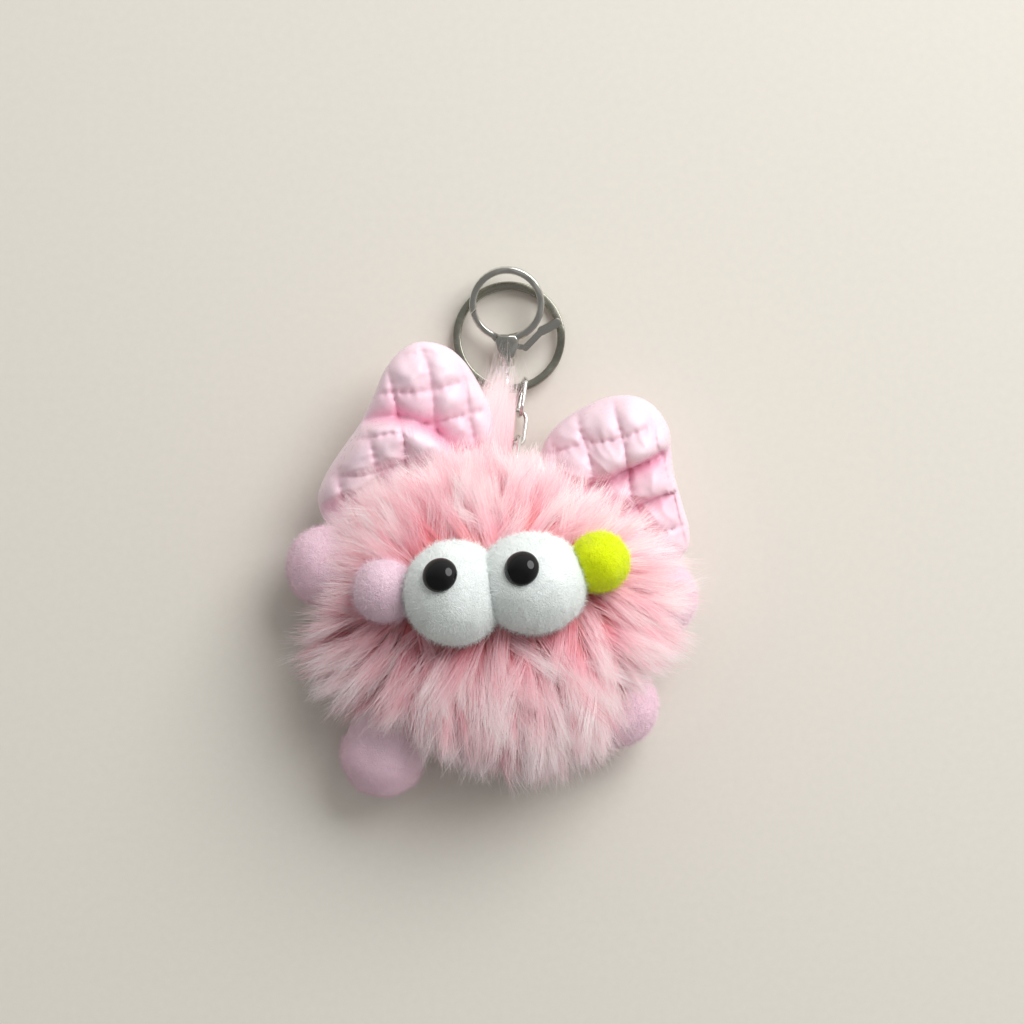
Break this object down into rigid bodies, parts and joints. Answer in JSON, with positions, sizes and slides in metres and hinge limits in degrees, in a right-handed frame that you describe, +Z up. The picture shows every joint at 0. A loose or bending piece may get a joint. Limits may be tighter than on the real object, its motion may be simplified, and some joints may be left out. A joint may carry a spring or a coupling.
{
  "type": "plush keychain",
  "caption": "Furry plush charm with felt ball eyes, quilted satin ears and ball feet, on a short chain with a split ring and a swivel clasp.",
  "frame": {"origin": "centre of the footprint, on the surface that the toy lies on", "axes": "+Z up out of the face, +Y from the feet towards the ears and the key ring, +X to the right of someone looking down at the face"},
  "size_m": [0.11, 0.1406, 0.0614],
  "materials": {
    "pink_fur": "long faux fur pile",
    "stuffing": "loose polyester fill",
    "satin": "quilted satin with a soft sheen",
    "white_felt": "wool felt, fuzzy",
    "lilac_felt": "wool felt, fuzzy",
    "pink_felt": "wool felt, fuzzy",
    "yellow_felt": "wool felt, fuzzy",
    "black_gloss": "polished",
    "cord": "braided cord",
    "silver": "bright plate",
    "nickel": "polished nickel plate, greyed"
  },
  "bodies": {
    "plush": {"fur_pelt": "pink_fur", "stuffing": "stuffing", "eye_left": "white_felt", "eye_right": "white_felt", "pupil_left": "black_gloss", "pupil_right": "black_gloss", "ball_pink": "pink_felt", "ball_yellow": "yellow_felt", "hand_left": "lilac_felt", "hand_right": "lilac_felt", "foot_left": "lilac_felt", "foot_right": "lilac_felt", "hanging_loop": "cord"},
    "ear_left": {"ear_left_cover": "satin", "ear_left_wadding": "stuffing"},
    "ear_right": {"ear_right_cover": "satin", "ear_right_wadding": "stuffing"},
    "link_3": {"chain_link_3": "silver"},
    "link_2": {"chain_link_2": "silver"},
    "link_1": {"chain_link_1": "silver"},
    "ring": {"split_ring": "nickel"},
    "swivel": {"swivel_eye": "silver"},
    "clasp": {"clasp_body": "nickel", "gate_pin": "nickel", "gate_spring": "silver"},
    "gate": {"clasp_gate": "nickel"}
  },
  "joints": [
    {"name": "ear_left_flop", "type": "hinge", "parent": "plush", "child": "ear_left", "pos_m": [-0.01979, 0.00982, 0.014], "axis": [0.8806, 0.4738, 0], "range_deg": [-8, 25], "stiffness_Nm_per_rad": 0.02},
    {"name": "ear_right_flop", "type": "hinge", "parent": "plush", "child": "ear_right", "pos_m": [0.03132, 0.00612, 0.014], "axis": [0.794, -0.608, 0], "range_deg": [-10, 30], "stiffness_Nm_per_rad": 0.02},
    {"name": "chain_root_swing", "type": "hinge", "parent": "plush", "child": "link_3", "pos_m": [0.00679, 0.01799, 0.01471], "axis": [0.8833, -0.3773, -0.2784], "range_deg": [-15, 35]},
    {"name": "chain_middle_swing", "type": "hinge", "parent": "link_3", "child": "link_2", "pos_m": [0.00769, 0.0244, 0.00889], "axis": [0.5802, 0.3205, 0.7488], "range_deg": [-18, 12]},
    {"name": "chain_end_swing", "type": "hinge", "parent": "link_2", "child": "link_1", "pos_m": [0.00876, 0.032, 0.00481], "axis": [0.9702, -0.1728, -0.1699], "range_deg": [-20, 16]},
    {"name": "ring_lift", "type": "hinge", "parent": "link_1", "child": "ring", "pos_m": [0.00965, 0.0383, 0.00345], "axis": [0.9613, 0.2746, -0.0235], "range_deg": [-8, 20]},
    {"name": "clasp_lift", "type": "hinge", "parent": "ring", "child": "swivel", "pos_m": [0.0058, 0.03776, 0.0035], "axis": [1, 0, 0], "range_deg": [0, 45]},
    {"name": "clasp_swivel", "type": "hinge", "parent": "swivel", "child": "clasp", "pos_m": [0.0052, 0.04394, 0.00484], "axis": [0, 0.9877, 0.1564], "range_deg": [-9, 5]},
    {"name": "gate_open", "type": "hinge", "parent": "clasp", "child": "gate", "pos_m": [0.0052, 0.04927, 0.00568], "axis": [0, 0.1564, -0.9877], "range_deg": [0, 22], "stiffness_Nm_per_rad": 0.03}
  ]
}
